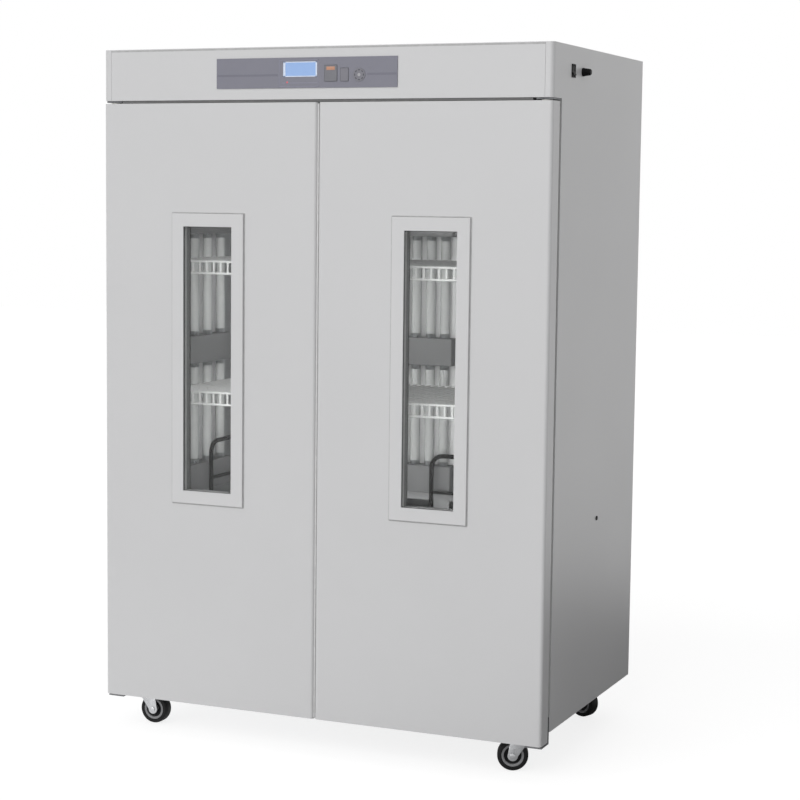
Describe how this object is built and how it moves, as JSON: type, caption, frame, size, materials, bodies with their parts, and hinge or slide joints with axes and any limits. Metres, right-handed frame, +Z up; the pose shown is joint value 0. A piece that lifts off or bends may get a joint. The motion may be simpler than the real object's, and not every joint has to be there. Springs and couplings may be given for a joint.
{
  "type": "plant growth chamber",
  "caption": "Floor-standing insulated plant growth chamber on swivel castors: hinged doors with tall windows, wire shelves, lamp banks and a control header.",
  "frame": {"origin": "on the floor under the middle of the cabinet", "axes": "+X to the right as seen from the doors, +Y towards the back, +Z up"},
  "size_m": [1.201, 0.707, 1.716],
  "materials": {
    "painted_case": "pale grey enamel, semi-gloss",
    "painted_door": "pale grey enamel, semi-gloss",
    "window_bezel": "pale grey moulding",
    "galvanised_steel": "zinc plated",
    "insulation_foam": "rigid foam",
    "stainless_liner": "brushed stainless",
    "liner_plastic": "moulded plastic",
    "shelf_wire": "white coated wire",
    "finned_aluminium": "fins",
    "lamp_tube": "white coated tube, off",
    "heater_tube": "black oxide",
    "machine_black": "black enamel",
    "panel_film": "grey blue film",
    "display": "light blue display",
    "control_box": "grey",
    "black_plastic": "moulded black",
    "key_orange": "soft key",
    "key_grey": "soft key",
    "seal_rubber": "flexible magnetic seal",
    "window_spacer": "dark spacer",
    "window_glass": "clear pane",
    "bush_nylon": "nylon",
    "castor_fork": "zinc plated pressing",
    "castor_wheel": "black rubber tyre on a plastic hub"
  },
  "bodies": {
    "root": {"left_side_panel": "painted_case", "right_side_panel": "painted_case", "top_cover": "painted_case", "header_fascia": "painted_case", "rear_panel": "painted_case", "rear_vent_cover": "painted_case", "base_frame": "galvanised_steel", "foam_insulation": "insulation_foam", "inner_liner": "stainless_liner", "front_frame": "liner_plastic", "shelf_uprights": "stainless_liner", "lower_shelves": "shelf_wire", "upper_shelves": "shelf_wire", "rear_duct": "galvanised_steel", "evaporator": "finned_aluminium", "lamp_trays": "stainless_liner", "lamp_tubes": "lamp_tube", "heater_loops": "heater_tube", "compressor": "machine_black", "condenser": "finned_aluminium", "condenser_shroud": "galvanised_steel", "fan_motors": "machine_black", "control_panel": "panel_film", "display": "display", "control_box": "control_box", "side_fittings": "black_plastic", "hinge_plates": "galvanised_steel", "castor_plates": "galvanised_steel"},
    "left_door": {"left_door_skin": "painted_door", "left_door_core": "insulation_foam", "left_door_liner": "liner_plastic", "left_door_gasket": "seal_rubber", "left_window_bezel": "window_bezel", "left_window_spacer": "window_spacer", "left_window_glass": "window_glass", "left_hinge_bushes": "bush_nylon"},
    "right_door": {"right_door_skin": "painted_door", "right_door_core": "insulation_foam", "right_door_liner": "liner_plastic", "right_door_gasket": "seal_rubber", "right_window_bezel": "window_bezel", "right_window_spacer": "window_spacer", "right_window_glass": "window_glass", "right_hinge_bushes": "bush_nylon"},
    "power_rocker": {"power_rocker": "black_plastic"},
    "fuse_cap": {"fuse_cap": "black_plastic"},
    "set_key": {"set_key": "key_orange"},
    "mode_key": {"mode_key": "key_grey"},
    "direction_pad": {"direction_pad": "key_grey"},
    "circulation_fan": {"circulation_fan": "machine_black"},
    "condenser_fan": {"condenser_fan": "machine_black"},
    "front_left_fork": {"front_left_castor_fork": "castor_fork"},
    "front_left_wheel": {"front_left_castor_wheel": "castor_wheel"},
    "front_right_fork": {"front_right_castor_fork": "castor_fork"},
    "front_right_wheel": {"front_right_castor_wheel": "castor_wheel"},
    "back_left_fork": {"back_left_castor_fork": "castor_fork"},
    "back_left_wheel": {"back_left_castor_wheel": "castor_wheel"},
    "back_right_fork": {"back_right_castor_fork": "castor_fork"},
    "back_right_wheel": {"back_right_castor_wheel": "castor_wheel"}
  },
  "joints": [
    {"name": "left_door_hinge", "type": "hinge", "parent": "root", "child": "left_door", "pos_m": [-0.568, -0.327, 0.834], "axis": [0, 0, -1], "range_deg": [0, 110]},
    {"name": "right_door_hinge", "type": "hinge", "parent": "root", "child": "right_door", "pos_m": [0.568, -0.327, 0.834], "axis": [0, 0, 1], "range_deg": [0, 110]},
    {"name": "power_rocker_tilt", "type": "hinge", "parent": "root", "child": "power_rocker", "pos_m": [0.586, -0.211, 1.658], "axis": [0, 1, 0], "range_deg": [0, 20]},
    {"name": "fuse_cap_turn", "type": "hinge", "parent": "root", "child": "fuse_cap", "pos_m": [0.604, -0.141, 1.659], "axis": [1, 0, 0], "range_deg": [0, 90]},
    {"name": "set_key_press", "type": "slide", "parent": "root", "child": "set_key", "axis": [0, 1, 0], "range_m": [0, 0.0004], "stiffness_N_per_m": 600},
    {"name": "mode_key_press", "type": "slide", "parent": "root", "child": "mode_key", "axis": [0, 1, 0], "range_m": [0, 0.0004], "stiffness_N_per_m": 600},
    {"name": "direction_pad_press", "type": "slide", "parent": "root", "child": "direction_pad", "axis": [0, 1, 0], "range_m": [0, 0.0004], "stiffness_N_per_m": 600},
    {"name": "circulation_fan_spin", "type": "hinge", "parent": "root", "child": "circulation_fan", "pos_m": [0, 0.265, 1.436], "axis": [0, 1, 0], "continuous": true},
    {"name": "condenser_fan_spin", "type": "hinge", "parent": "root", "child": "condenser_fan", "pos_m": [0.22, 0.28, 0.27], "axis": [0, 1, 0], "continuous": true},
    {"name": "front_left_castor_swivel", "type": "hinge", "parent": "root", "child": "front_left_fork", "pos_m": [-0.514, -0.267, 0.09], "axis": [0, 0, 1], "continuous": true},
    {"name": "front_left_wheel_roll", "type": "hinge", "parent": "front_left_fork", "child": "front_left_wheel", "pos_m": [-0.492, -0.267, 0.0375], "axis": [0, -1, 0], "continuous": true},
    {"name": "front_right_castor_swivel", "type": "hinge", "parent": "root", "child": "front_right_fork", "pos_m": [0.514, -0.267, 0.09], "axis": [0, 0, 1], "continuous": true},
    {"name": "front_right_wheel_roll", "type": "hinge", "parent": "front_right_fork", "child": "front_right_wheel", "pos_m": [0.49333, -0.27452, 0.0375], "axis": [-0.342, 0.9397, 0], "continuous": true},
    {"name": "back_left_castor_swivel", "type": "hinge", "parent": "root", "child": "back_left_fork", "pos_m": [-0.514, 0.267, 0.09], "axis": [0, 0, 1], "continuous": true},
    {"name": "back_left_wheel_roll", "type": "hinge", "parent": "back_left_fork", "child": "back_left_wheel", "pos_m": [-0.49598, 0.27962, 0.0375], "axis": [0.5736, -0.8192, 0], "continuous": true},
    {"name": "back_right_castor_swivel", "type": "hinge", "parent": "root", "child": "back_right_fork", "pos_m": [0.514, 0.267, 0.09], "axis": [0, 0, 1], "continuous": true},
    {"name": "back_right_wheel_roll", "type": "hinge", "parent": "back_right_fork", "child": "back_right_wheel", "pos_m": [0.49333, 0.27452, 0.0375], "axis": [0.342, 0.9397, 0], "continuous": true}
  ]
}
